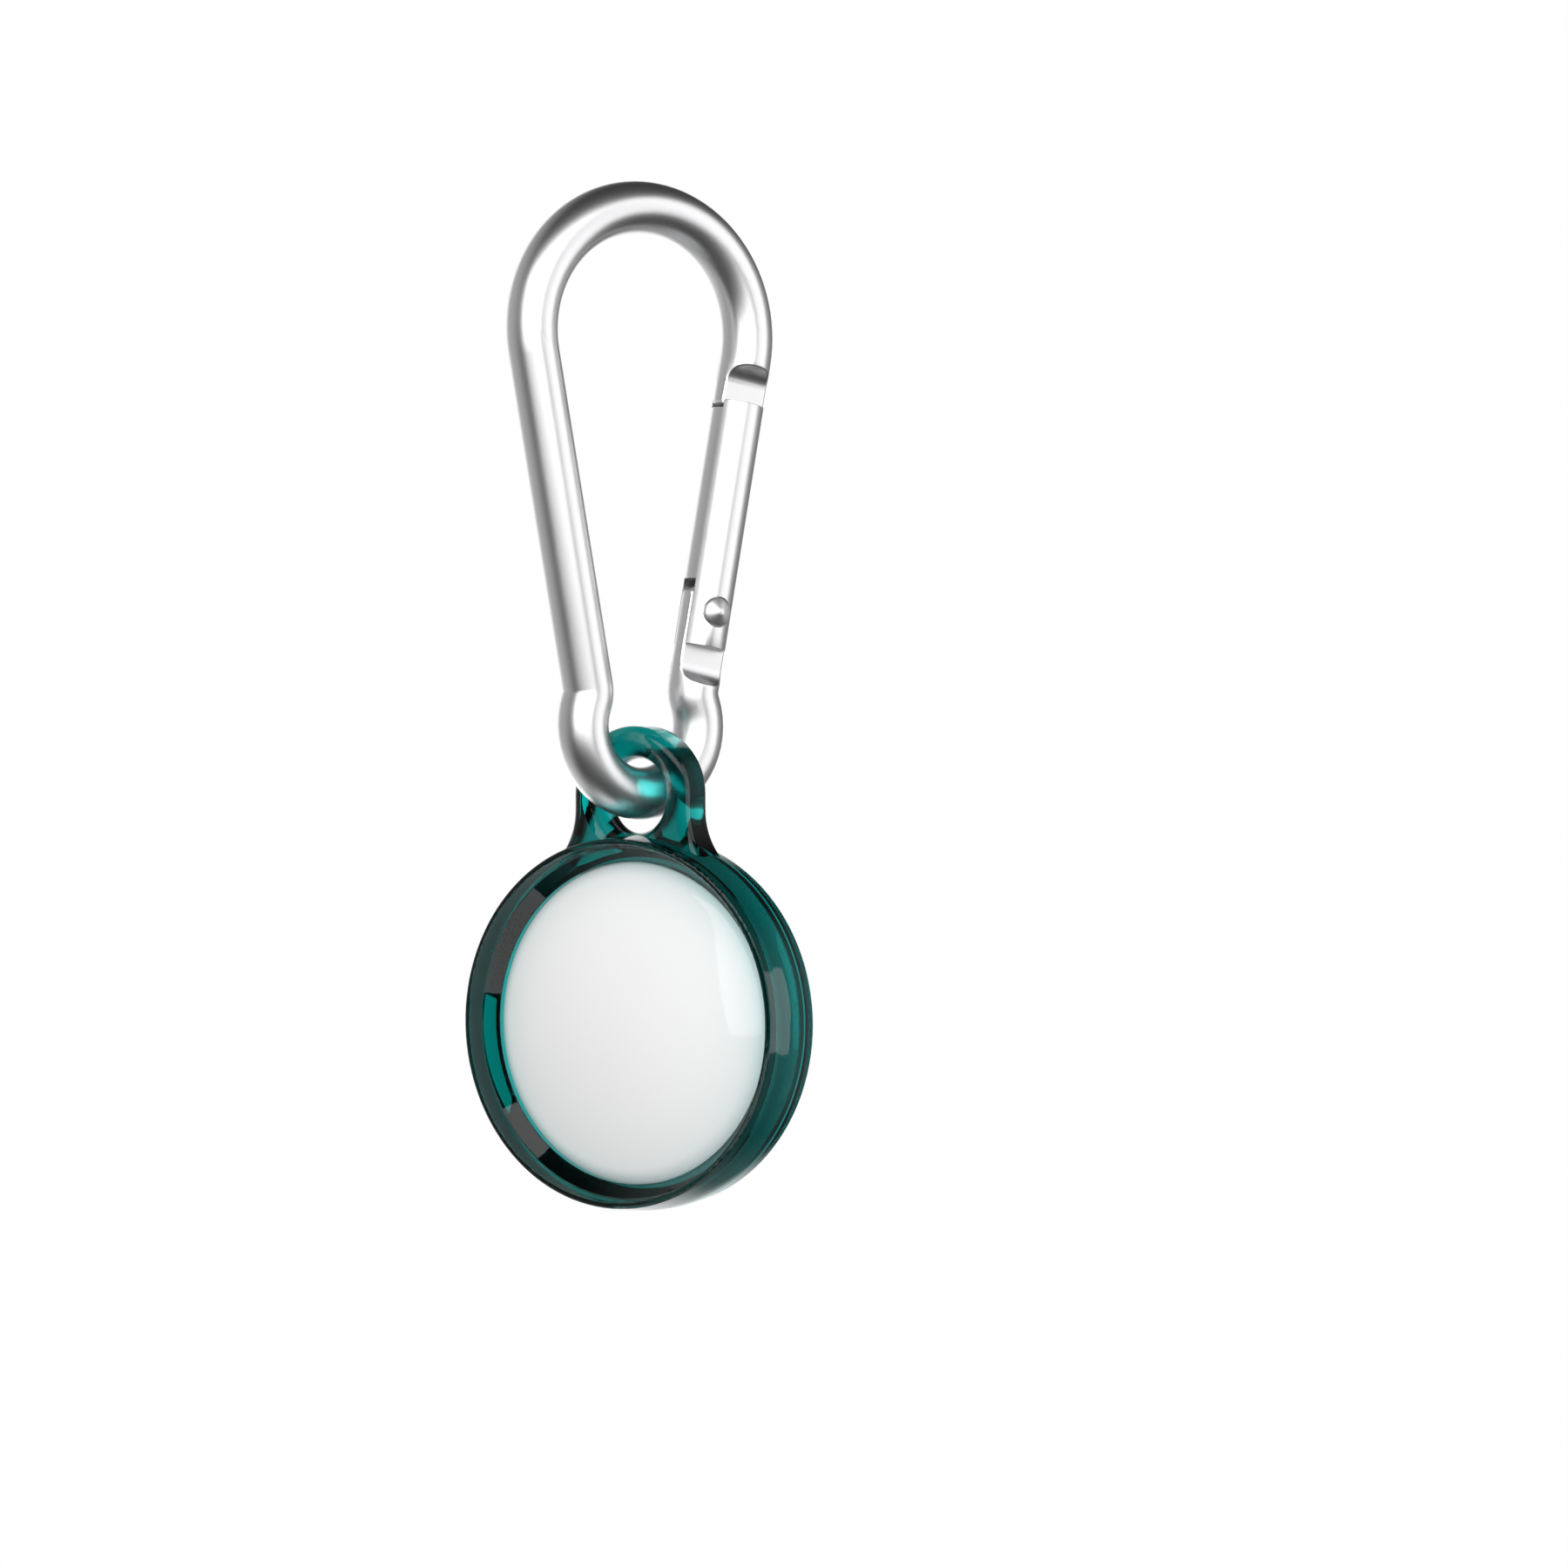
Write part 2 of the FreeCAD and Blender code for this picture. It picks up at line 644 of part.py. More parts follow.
def negative_contacts():
    """Leaf springs: a pad under the board, and an arm bent down to the cell."""
    low = cell_front_w + contact_t
    pad = board_w - contact_t
    start = contact_place_r - contact_reach / 2
    end = contact_place_r + contact_reach / 2
    knee = contact_place_r
    leaf = Part.Face(Part.makePolygon([
        flat(end, board_w), flat(end, pad), flat(knee, pad), flat(start + contact_t, low - contact_t),
        flat(start, low - contact_t), flat(start, low), flat(start + contact_t, low),
        flat(knee, board_w), flat(end, board_w)]))
    spring = slab(leaf, contact_w / 2)
    return Part.makeCompound([spring.rotated(ORIGIN, Z_AXIS, a + 90) for a in around(contact_count)])


def positive_contacts():
    strip = block(cell_r + (well_gap - contact_t) / 2, cell_r + (well_gap + contact_t) / 2,
                  -side_contact_w / 2, side_contact_w / 2, floor_w - side_contact_len, board_w)
    return Part.makeCompound([strip.rotated(ORIGIN, Z_AXIS, a) for a in around(2)])


def circuit_board():
    return band(board_in_r, board_out_r, board_w, board_front_w)


def board_chips():
    chips = []
    for long_share, wide_share, tall_share, angle in chip_shares:
        half_long = long_share * chip_long / 2
        half_wide = wide_share * chip_wide / 2
        chip = block(chip_place_r - half_wide, chip_place_r + half_wide, -half_long, half_long,
                     board_front_w, board_front_w + tall_share * chip_tall)
        chips.append(chip.rotated(ORIGIN, Z_AXIS, angle))
    return Part.makeCompound(chips)


def magnet_cup():
    return turned(rounded_face([
        (0, board_w, 0), (cup_r, board_w, cup_t / 2), (cup_r, board_w + cup_h, 0),
        (cup_r - cup_t, board_w + cup_h, 0), (cup_r - cup_t, board_w + cup_t, 0), (0, board_w + cup_t, 0)]))


def speaker_magnet():
    return Part.makeCylinder(magnet_r, magnet_h, V(0, 0, board_w + cup_t))


def voice_coil():
    return band(coil_in_r, coil_out_r, board_w + cup_t + coil_gap, shell_inside(coil_out_r))


def antenna_frame():
    inner = well_out_r + antenna_in_gap
    outer = spigot_r - spigot_wall - antenna_out_gap
    return turned(rounded_face([
        (inner, shelf_front_w, 0), (outer, shelf_front_w, 0),
        (outer, shelf_front_w + antenna_h, antenna_h / 3),
        (inner, shelf_front_w + antenna_h, antenna_h / 3)]))


pieces = {
    "carabiner_body": carabiner_body(),
    "carabiner_gate": on_leg(carabiner_gate()),
    "gate_rivet": on_leg(gate_rivet()),
    "gate_plunger": on_leg(gate_plunger()),
    "gate_spring": on_leg(gate_spring()),
    "holder_case": on_tag(holder_case()),
    "tag_front_shell": on_tag(tag_front_shell()),
    "rear_tray": on_tag(rear_tray()),
    "battery_cover": on_tag(battery_cover()),
    "cover_ring": on_tag(cover_ring()),
    "cover_seal": on_tag(cover_seal()),
    "coin_cell": on_tag(coin_cell()),
    "negative_contacts": on_tag(negative_contacts()),
    "positive_contacts": on_tag(positive_contacts()),
    "circuit_board": on_tag(circuit_board()),
    "board_chips": on_tag(board_chips()),
    "magnet_cup": on_tag(magnet_cup()),
    "speaker_magnet": on_tag(speaker_magnet()),
    "voice_coil": on_tag(voice_coil()),
    "antenna_frame": on_tag(antenna_frame()),
}

os.makedirs("parts", exist_ok=True)
for name, shape in pieces.items():
    shape.exportStep("parts/" + name + ".step")
    print(name, len(shape.Solids), "valid" if shape.isValid() else "not valid", round(shape.Volume, 3))
print("pivot", pivot, "lean", round(math.degrees(lean), 3), "wire", round(wire_z, 3))
print("hole", round(hole_z, 4), "tag", round(tag_z, 4), "spring end", leg_place.multVec(V(0, 0, bore_end)))
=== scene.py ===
# %% [markdown]
# A tracker tag holder: a satin aluminium carabiner with a spring gate, and a clear teal ring
# case that hangs on its lower loop and holds a white tag. The CAD model is the fixed frame:
# every piece below goes where that frame says, and all but the spring hang from a body of the frame.

# %% Load the frame
import math

import bmesh
import bpy
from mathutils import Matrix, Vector


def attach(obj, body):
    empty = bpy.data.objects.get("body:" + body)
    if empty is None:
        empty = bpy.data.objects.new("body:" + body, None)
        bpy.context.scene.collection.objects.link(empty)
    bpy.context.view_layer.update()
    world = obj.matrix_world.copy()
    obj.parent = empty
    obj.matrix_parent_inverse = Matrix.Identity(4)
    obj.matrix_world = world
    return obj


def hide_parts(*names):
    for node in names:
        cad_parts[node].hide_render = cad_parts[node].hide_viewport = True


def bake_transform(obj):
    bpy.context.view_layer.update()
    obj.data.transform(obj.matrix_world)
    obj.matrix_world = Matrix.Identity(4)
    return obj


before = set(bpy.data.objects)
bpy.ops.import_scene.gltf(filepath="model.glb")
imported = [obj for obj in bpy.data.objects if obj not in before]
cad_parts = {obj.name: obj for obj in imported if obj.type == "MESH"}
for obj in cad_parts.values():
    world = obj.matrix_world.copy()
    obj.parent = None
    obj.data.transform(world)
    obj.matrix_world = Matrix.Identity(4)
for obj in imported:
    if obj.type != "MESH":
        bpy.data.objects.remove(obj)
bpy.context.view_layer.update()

MM = 0.001

# %% [markdown]
# Finishes are written as small programs. The first tool wraps a socket in a class, so that
# arithmetic on it adds Math nodes. The same could be clicked together in the shader editor, but
# an expression is quicker to read, and it can be used again with other numbers.

# %% Values in a finish
class Val:
    """A value in a finish; arithmetic on it adds Math nodes."""

    def __init__(self, finish, socket):
        self.finish = finish
        self.socket = socket

    def math(self, operation, first, second):
        return self.finish.node("ShaderNodeMath", {"operation": operation}, {0: first, 1: second})

    def __add__(self, other):
        return self.math("ADD", self, other)

    def __sub__(self, other):
        return self.math("SUBTRACT", self, other)

    def __rsub__(self, other):
        return self.math("SUBTRACT", other, self)

    def __mul__(self, other):
        return self.math("MULTIPLY", self, other)

    __radd__ = __add__
    __rmul__ = __mul__


print("Values can be added, subtracted and multiplied")

# %% [markdown]
# The second tool fills a node tree. One method makes any node from its type, its settings and its
# inputs, and a few short ones give names to what comes back often. Every pattern reads Object
# coordinates, so that it stays where it is on a piece that moves. Image textures would need
# unwrapped meshes; noise in space fits any shape.

# %% Node trees
NOISE_MIDDLE = 0.5


class Finish:
    """A node tree that is filled from code: a material, or the world."""

    def __init__(self, owner):
        self.owner = owner
        owner.use_nodes = True
        self.tree = owner.node_tree
        self.tree.nodes.clear()

    def node(self, kind, settings=None, inputs=None, out=0):
        """Adds a node, applies its settings, fills its inputs and gives one of its outputs."""
        made = self.tree.nodes.new(kind)
        for key, value in (settings or {}).items():
            setattr(made, key, value)
        for key, value in (inputs or {}).items():
            if isinstance(value, Val):
                self.tree.links.new(value.socket, made.inputs[key])
            else:
                made.inputs[key].default_value = value
        return Val(self, made.outputs[out]) if len(made.outputs) else made

    def noise(self, scale, detail, rough):
        """Noise around NOISE_MIDDLE; the scale is in cells per metre."""
        place = self.node("ShaderNodeTexCoord", out="Object")
        return self.node("ShaderNodeTexNoise", {}, {
            "Vector": place, "Scale": scale, "Detail": detail, "Roughness": rough})

    def mix(self, share, first, second):
        """Mixes two colours by a share; a Mix node keeps its colours in sockets 6, 7 and 2."""
        return self.node("ShaderNodeMix", {"data_type": "RGBA"}, {0: share, 6: first, 7: second}, out=2)

    def bump(self, height, distance, strength):
        return self.node("ShaderNodeBump", {}, {"Height": height, "Distance": distance, "Strength": strength})

    def surface(self, shader, volume=None):
        """Ends a material; a clear body has a volume as well."""
        ends = {"Surface": shader} if volume is None else {"Surface": shader, "Volume": volume}
        self.node("ShaderNodeOutputMaterial", {}, ends)
        return self.owner


def new_finish(name):
    return Finish(bpy.data.materials.new(name))


def colour(r, g, b, share=1.0):
    """A share of a colour, opaque, as a socket takes it."""
    return (share * r, share * g, share * b, 1.0)


print("Finish tools ready")

# %% [markdown]
# The bar is aluminium, tumbled to a soft satin and clear anodised. Its sheen is not even: the
# tumbling leaves a fine grain, and handling leaves slightly smoother patches. Fine noise in the
# bump and slow noise in the roughness give both, without any image.

# %% Satin aluminium
PATCH_SCALE = 160.0
PATCH_SHADE = 0.94
GRAIN_ROUGH = 0.05
GRAIN_STRENGTH = 0.5


def satin_metal(name, base, dull, grain_scale, grain_depth, patch=0.06):
    """A metal by its colour, its dullness, the scale and depth of its grain, and its patches."""
    f = new_finish(name)
    grain = f.noise(grain_scale, 3.0, 0.6)
    patches = f.noise(PATCH_SCALE, 3.0, 0.5)
    shade = f.mix(patches, colour(*base, share=PATCH_SHADE), colour(*base))
    rough = dull + patch * (patches - NOISE_MIDDLE) + GRAIN_ROUGH * (grain - NOISE_MIDDLE)
    shader = f.node("ShaderNodeBsdfPrincipled", {}, {
        "Base Color": shade, "Metallic": 1.0, "Roughness": rough,
        "Normal": f.bump(grain, grain_depth, GRAIN_STRENGTH)})
    return f.surface(shader)


bar_finish = satin_metal("bar_satin", (0.90, 0.90, 0.91), 0.34, 7000.0, 0.004 * MM)
rivet_finish = satin_metal("rivet_satin", (0.91, 0.91, 0.91), 0.40, 5000.0, 0.003 * MM)
print("Made", bar_finish.name, rivet_finish.name)

# %% [markdown]
# The case is soft clear plastic, dyed teal through and through. A dyed clear body looks pale
# where it is thin and almost black where it is thick, so its colour belongs in the volume, as
# absorption, and the surface stays colourless and glossy. A refracting surface also stops the
# light of lamps, which would leave the tag dark inside the case. So a Mix Shader gives shadow rays
# a plain see-through surface instead.

# %% Clear teal plastic
CLEAR_IOR = 1.5
FLOW_SCALE = 220.0
FLOW_ROUGH = 0.02
FLOW_DEPTH = 0.004 * MM
FLOW_STRENGTH = 0.3
LAMP_SHARE = 0.7


def clear_plastic(name, keep_per_mm, gloss):
    """Clear plastic, by the shares of red, green and blue that a millimetre of it lets through."""
    f = new_finish(name)
    flow = f.noise(FLOW_SCALE, 2.0, 0.5)
    shader = f.node("ShaderNodeBsdfPrincipled", {}, {
        "Base Color": colour(1.0, 1.0, 1.0), "Roughness": gloss + FLOW_ROUGH * flow,
        "IOR": CLEAR_IOR, "Transmission Weight": 1.0,
        "Normal": f.bump(flow, FLOW_DEPTH, FLOW_STRENGTH)})
    loss = [-math.log(share) / MM for share in keep_per_mm]
    density = max(loss)
    tint = [1.0 - part / density for part in loss]
    volume = f.node("ShaderNodeVolumeAbsorption", {}, {"Color": colour(*tint), "Density": density})
    to_lamp = f.node("ShaderNodeLightPath", out="Is Shadow Ray")
    through = f.node("ShaderNodeBsdfTransparent", {}, {"Color": colour(1.0, 1.0, 1.0, share=LAMP_SHARE)})
    return f.surface(f.node("ShaderNodeMixShader", {}, {0: to_lamp, 1: shader, 2: through}), volume)


case_finish = clear_plastic("case_teal", (0.20, 0.68, 0.67), 0.02)
print("Made", case_finish.name)

# %% [markdown]
# The tag's face is white moulded plastic with a high gloss. Even a polished mould leaves a very
# faint orange peel, which makes reflections a little soft at their edges. The tray, the ring, the
# antenna's frame, the chips and the seal come from duller moulds with a finer texture, and the
# board's lacquer looks much the same, so one recipe with other numbers serves them all.

# %% Moulded plastics
TONE_SCALE = 90.0
TONE_SHADE = 0.97
TONE_ROUGH = 0.04
PEEL_STRENGTH = 0.4


def moulded_plastic(name, base, gloss, peel_scale, peel_depth):
    """A plastic by its colour, its roughness, and the scale and depth of its surface texture."""
    f = new_finish(name)
    peel = f.noise(peel_scale, 2.0, 0.5)
    tone = f.noise(TONE_SCALE, 2.0, 0.5)
    shade = f.mix(tone, colour(*base, share=TONE_SHADE), colour(*base))
    shader = f.node("ShaderNodeBsdfPrincipled", {}, {
        "Base Color": shade, "Roughness": gloss + TONE_ROUGH * (tone - NOISE_MIDDLE),
        "Normal": f.bump(peel, peel_depth, PEEL_STRENGTH)})
    return f.surface(shader)


face_finish = moulded_plastic("tag_white_gloss", (0.86, 0.86, 0.86), 0.05, 500.0, 0.002 * MM)
tray_finish = moulded_plastic("tray_white", (0.80, 0.80, 0.80), 0.38, 3000.0, 0.01 * MM)
ring_finish = moulded_plastic("ring_grey", (0.72, 0.72, 0.71), 0.45, 3000.0, 0.01 * MM)
antenna_finish = moulded_plastic("antenna_black", (0.05, 0.05, 0.055), 0.5, 3000.0, 0.01 * MM)
chip_finish = moulded_plastic("chip_black", (0.02, 0.02, 0.022), 0.55, 6000.0, 0.01 * MM)
board_finish = moulded_plastic("board_mask", (0.01, 0.03, 0.06), 0.3, 2000.0, 0.01 * MM)
seal_finish = moulded_plastic("seal_rubber", (0.03, 0.03, 0.03), 0.7, 4000.0, 0.02 * MM)
print("Made", face_finish.name, "and the plastics and rubber around it")

# %% [markdown]
# The other metals are a polished steel cover, a cell in a brushed can, a drawn spring wire, a
# plunger, plated contacts, a copper winding, and the sounder's cup and magnet. The plunger is
# near black as painted shade, so that the gap beside the gate's ear looks dark. They differ from
# the bar in colour, dullness and grain, so the bar's recipe makes them too. Most are inside the
# closed tag, but a part that can be opened is finished inside as well.

# %% Other metals
cover_finish = satin_metal("cover_polished", (0.78, 0.78, 0.78), 0.12, 2500.0, 0.001 * MM, patch=0.03)
cell_finish = satin_metal("cell_brushed", (0.66, 0.66, 0.67), 0.30, 2500.0, 0.004 * MM)
spring_finish = satin_metal("spring_wire", (0.55, 0.56, 0.58), 0.25, 3000.0, 0.002 * MM)
# Painted shade: the plunger is near black so that the gate's gap shows dark.
plunger_shade_finish = satin_metal("plunger_painted_shade", (0.05, 0.05, 0.055), 0.35, 3000.0, 0.002 * MM)
brass_finish = satin_metal("brass_turned", (0.80, 0.60, 0.28), 0.25, 3000.0, 0.002 * MM)
copper_finish = satin_metal("copper_winding", (0.80, 0.42, 0.24), 0.30, 3000.0, 0.002 * MM)
cup_finish = satin_metal("cup_zinc", (0.60, 0.60, 0.62), 0.30, 3000.0, 0.002 * MM)
magnet_finish = satin_metal("magnet_nickel", (0.70, 0.68, 0.64), 0.18, 3000.0, 0.002 * MM)
print("Made", cover_finish.name, "and the metals inside the tag and the gate")

# %% [markdown]
# The CAD nodes already have the right shape and place, so they only need a finish in their
# material slot. One table says which. Nodes that a finer piece replaces further down are in it as
# well, so that none is left plain.

# %% Finishes on the CAD nodes
node_finishes = {
    "carabiner_body": bar_finish, "carabiner_gate": bar_finish, "gate_rivet": rivet_finish,
    "gate_spring": spring_finish, "gate_plunger": plunger_shade_finish, "holder_case": case_finish,
    "tag_front_shell": face_finish, "rear_tray": tray_finish, "battery_cover": cover_finish,
    "cover_ring": ring_finish, "cover_seal": seal_finish, "coin_cell": cell_finish,
    "negative_contacts": brass_finish, "positive_contacts": brass_finish,
    "circuit_board": board_finish, "board_chips": chip_finish, "magnet_cup": cup_finish,
    "speaker_magnet": magnet_finish, "voice_coil": copper_finish, "antenna_frame": antenna_finish,
}
for name, finish in node_finishes.items():
    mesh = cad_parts[name].data
    mesh.materials.clear()
    mesh.materials.append(finish)
print("Finished", len(node_finishes), "nodes")

# %% [markdown]
# A new piece starts as a bmesh, Blender's mesh for editing. It becomes an object at the origin
# with its place in its mesh, as the CAD nodes are, takes a finish, and hides the node that it
# stands for. One helper does this for every piece.

# %% Pieces from a bmesh
MERGE = 0.001 * MM


def add_piece(name, shape, finish, node):
    """Turns a bmesh into a piece that stands for a node."""
    mesh = bpy.data.meshes.new(name)
    shape.to_mesh(mesh)
    shape.free()
    mesh.materials.append(finish)
    piece = bpy.data.objects.new(name, mesh)
    bpy.context.scene.collection.objects.link(piece)
    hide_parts(node)
    return piece


def merged_copy(node):
    """A bmesh of a node's shape, its loose triangles joined."""
    shape = bmesh.new()
    shape.from_mesh(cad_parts[node].data)
    bmesh.ops.remove_doubles(shape, verts=shape.verts, dist=MERGE)
    return shape


print("Pieces are added at the origin, as the nodes are")

# %% [markdown]
# Milled metal never has knife edges: the tumbling that gives the bar its satin also rounds each
# edge by a fraction of a millimetre, and that thin round is what catches the light along the
# flats and around the ends of the gate. A Bevel modifier would round every edge, also those of the
# bore and the rivet hole, which a drill leaves crisp. So two tests say which points are away from
# these holes.

# %% Edges that stay crisp
PIVOT = Vector((7.191811, 0.0, -35.581163)) * MM
LEAN = math.radians(10.657)
LEG = Vector((math.sin(LEAN), 0.0, math.cos(LEAN)))
HOLE_R = 1.6 * MM
BORE_R, BORE_LOW, BORE_HIGH = 1.3 * MM, 2.5 * MM, 11.5 * MM


def hole_clear(point):
    """Whether a point is away from the rivet's hole."""
    away = point - PIVOT
    return math.hypot(away.x, away.z) > HOLE_R


def bore_clear(point):
    """Whether a point is outside the bore along the gate."""
    away = point - PIVOT
    along = away.dot(LEG)
    return (away - along * LEG).length > BORE_R or not BORE_LOW < along < BORE_HIGH


print("Edges stay crisp within", round(HOLE_R / MM, 2), "mm of the pivot's axis")

# %% [markdown]
# The other edges are picked by the angle between their faces and bevelled in bmesh, on a copy of
# the node whose loose triangles are merged first. Its normals are then weighted by area, so that
# the large flats stay flat and the shading turns only across the narrow rounds.

# %% Softened edges
FLAT_ANGLE = math.radians(0.2)
CRISP_ANGLE = math.radians(28.0)
FLAT_WEIGHT = 90


def softened(node, body, finish, width, steps, keep):
    """A copy of a node whose crisp edges are rounded where the test allows it."""
    shape = merged_copy(node)
    bmesh.ops.dissolve_limit(shape, angle_limit=FLAT_ANGLE, verts=shape.verts, edges=shape.edges)
    edges = [edge for edge in shape.edges if edge.calc_face_angle(0.0) > CRISP_ANGLE]
    crisp = [edge for edge in edges if all(keep(v.co) for v in edge.verts)]
    for edge in edges:
        edge.smooth = edge in crisp
    bmesh.ops.bevel(shape, geom=crisp, offset=width, offset_type="OFFSET", affect="EDGES", segments=steps,
                    profile=0.5, material=-1, clamp_overlap=False)
    for face in shape.faces:
        face.smooth = True
    piece = add_piece(node + "_soft", shape, finish, node)
    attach(piece, body)
    weigh = piece.modifiers.new("flat_flats", "WEIGHTED_NORMAL")
    weigh.weight = FLAT_WEIGHT
    weigh.keep_sharp = True
    print(piece.name, "rounded", len(crisp), "of", len(edges), "edges,", len(piece.data.polygons), "faces")


softened("carabiner_body", "carabiner", bar_finish, 0.2 * MM, 3, hole_clear)
softened("carabiner_gate", "gate", bar_finish, 0.07 * MM, 2,
         lambda point: hole_clear(point) and bore_clear(point))

# %% [markdown]
# The rivet's head is a low cone with a rounded tip, as a peening punch leaves it, and its rim
# curls in a little above its seat, which draws the dark ring around it. A lathe makes such a
# shape, and so does spin: half a section turned once about the pivot's axis.

# %% Gate rivet
SEAM = 0.0005 * MM
CORNER_ANGLE = math.radians(40.0)


def turned_piece(name, shape, middle, axis, steps, finish, body, node):
    """Spins the section in a bmesh once about an axis through a point."""
    bmesh.ops.spin(shape, geom=shape.verts[:] + shape.edges[:], cent=middle, axis=axis, angle=math.tau,
                   steps=steps, use_merge=True)
    bmesh.ops.remove_doubles(shape, verts=shape.verts, dist=SEAM)
    bmesh.ops.recalc_face_normals(shape, faces=shape.faces)
    for face in shape.faces:
        face.smooth = True
    for edge in shape.edges:
        edge.smooth = edge.calc_face_angle(0.0) < CORNER_ANGLE
    piece = add_piece(name, shape, finish, node)
    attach(piece, body)
    print(name, "has", len(piece.data.polygons), "faces")


# Radius and height of the head's outline in millimetres, from its tip to the shank.
HEAD = [(0.0, 2.98), (0.12, 2.973), (0.24, 2.95), (0.36, 2.91), (1.22, 2.45), (1.33, 2.38), (1.39, 2.30),
        (1.41, 2.21), (1.38, 2.13), (1.30, 2.08), (1.28, 2.0), (0.8, 2.0)]
HEAD_STEPS = 72
section = bmesh.new()
corners = [section.verts.new(PIVOT + Vector((r, h, 0.0)) * MM)
           for r, h in HEAD + [(r, -h) for r, h in reversed(HEAD)]]
for pair in zip(corners, corners[1:]):
    section.edges.new(pair)
turned_piece("rivet_cone", section, PIVOT, (0, 1, 0), HEAD_STEPS, rivet_finish,
             "gate", "gate_rivet")

# %% [markdown]
# The spring sits in the gate's bore, between its blind end and the plunger. As the gate opens, the
# plunger is pushed in and the coil gets shorter. A shape key could show that; here the coil is a
# merged copy of the node, smooth shaded, with its place baked into its mesh and no body.

# %% Gate spring
coil = merged_copy("gate_spring")
for face in coil.faces:
    face.smooth = True
spring = add_piece("spring_coil", coil, spring_finish, "gate_spring")
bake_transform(spring)

# %% [markdown]
# The tag's face and its cover are round about one axis, so each is drawn as a half section. They
# are so glossy that any unevenness shows as a kink in a reflection, so the sections are made of
# true arcs. Points of an arc could be worked out with sine and cosine, but spinning a single
# vertex about the arc's centre draws it in one call.

# %% Arcs of a half section
TAG = Vector((0.0, 0.0, -74.2495)) * MM
FRONT = Vector((-0.9135454576, -0.4067366431, 0.0))
ARC_STEPS = 20


def in_tag(r, w):
    """A point of the tag's half section: millimetres above its axis and in front of its middle."""
    return TAG + Vector((0.0, 0.0, r)) * MM + FRONT * (w * MM)


def sweep(shape, vert, centre, degrees, steps):
    """Draws an arc from a vertex about a centre, in the plane of the half section; returns its end."""
    arc = bmesh.ops.spin(shape, geom=[vert], cent=centre, axis=FRONT.cross(Vector((0, 0, 1))),
                         angle=math.radians(degrees), steps=steps)
    return [part for part in arc["geom_last"] if isinstance(part, bmesh.types.BMVert)][0]


print("The tag's middle is", round(-TAG.z / MM, 2), "mm below the hang point")

# %% [markdown]
# The face is a shallow dome that turns down over a generous rounded edge, moulded as one shell of
# even thickness. Each of its two walls is a wide arc and a tight one that meet without a kink, and
# the walls are joined at the rim. A Solidify modifier could give the thickness, but two drawn walls
# keep the arcs exact. The section is then spun about the tag's axis.

# %% Tag face
DOME_R, EDGE_R, TAG_R, TAG_FRONT, SHELL_T = 45.0, 3.2, 15.95, 4.0, 0.9
TURN_STEPS = 160
dome_w = TAG_FRONT - DOME_R
edge_w = dome_w + math.sqrt((DOME_R - EDGE_R) ** 2 - (TAG_R - EDGE_R) ** 2)
meet = math.degrees(math.atan2(edge_w - dome_w, TAG_R - EDGE_R))
section = bmesh.new()
ends = []
for inset in (0.0, SHELL_T):
    apex = section.verts.new(in_tag(0.0, TAG_FRONT - inset))
    shoulder = sweep(section, apex, in_tag(0.0, dome_w), 90.0 - meet, ARC_STEPS)
    ends.append(sweep(section, shoulder, in_tag(TAG_R - EDGE_R, edge_w), meet, ARC_STEPS))
section.edges.new(ends)
end_places = [round((end.co - TAG).dot(FRONT) / MM, 3) for end in ends]
print("Tag face ends", end_places, "mm in front of its middle")
turned_piece("tag_face", section, TAG, FRONT, TURN_STEPS, face_finish,
             "holder", "tag_front_shell")

# %% [markdown]
# The battery cover is thin stainless steel, pressed into a shallow dish and polished, with its
# edge rolled over the radius of the die. A mirror shows every facet of its mesh, so it is drawn
# with arcs and spun, as the face was; these arcs turn the other way, because it faces back.

# %% Battery cover
COVER_R, COVER_DOME_R, COVER_BACK, COVER_T, ROLL_R, SKIRT_W = 12.9, 92.9, -4.0, 0.4, 0.25, -2.5
ROLL_STEPS = 10
bowl = in_tag(0.0, COVER_BACK + COVER_DOME_R)
roll = math.asin((COVER_R - ROLL_R) / (COVER_DOME_R - ROLL_R))
roll_w = COVER_BACK + COVER_DOME_R - (COVER_DOME_R - ROLL_R) * math.cos(roll)
inside = math.asin((COVER_R - COVER_T) / (COVER_DOME_R - COVER_T))

section = bmesh.new()
back = section.verts.new(in_tag(0.0, COVER_BACK))
edge = sweep(section, back, bowl, -math.degrees(roll), ARC_STEPS)
edge = sweep(section, edge, in_tag(COVER_R - ROLL_R, roll_w), math.degrees(roll) - 90.0, ROLL_STEPS)
hollow = section.verts.new(in_tag(0.0, COVER_BACK + COVER_T))
hollow = sweep(section, hollow, bowl, -math.degrees(inside), ARC_STEPS)
skirt = [edge, section.verts.new(in_tag(COVER_R, SKIRT_W)),
         section.verts.new(in_tag(COVER_R - COVER_T, SKIRT_W)), hollow]
for pair in zip(skirt, skirt[1:]):
    section.edges.new(pair)
turned_piece("cover_dish", section, TAG, FRONT, TURN_STEPS, cover_finish,
             "cover", "battery_cover")

# %% [markdown]
# The picture was taken from the left of the carabiner's front, level with the holder, with a long
# lens. A camera could be moved by hand until the outlines agree, but numbers can be checked: the
# image is 1800 by 1800 pixels, and 12.2 of them make a millimetre at the holder, so the camera's
# place follows from the pixel where the hang point shows.

# %% Camera
IMAGE = 1800
PIXELS_PER_MM = 12.2
DISTANCE = 0.595
AZIMUTH = math.radians(-33.0)
ELEVATION = math.radians(0.0)
HANG_PIXEL = (735.0, 268.0)
SENSOR = 36.0

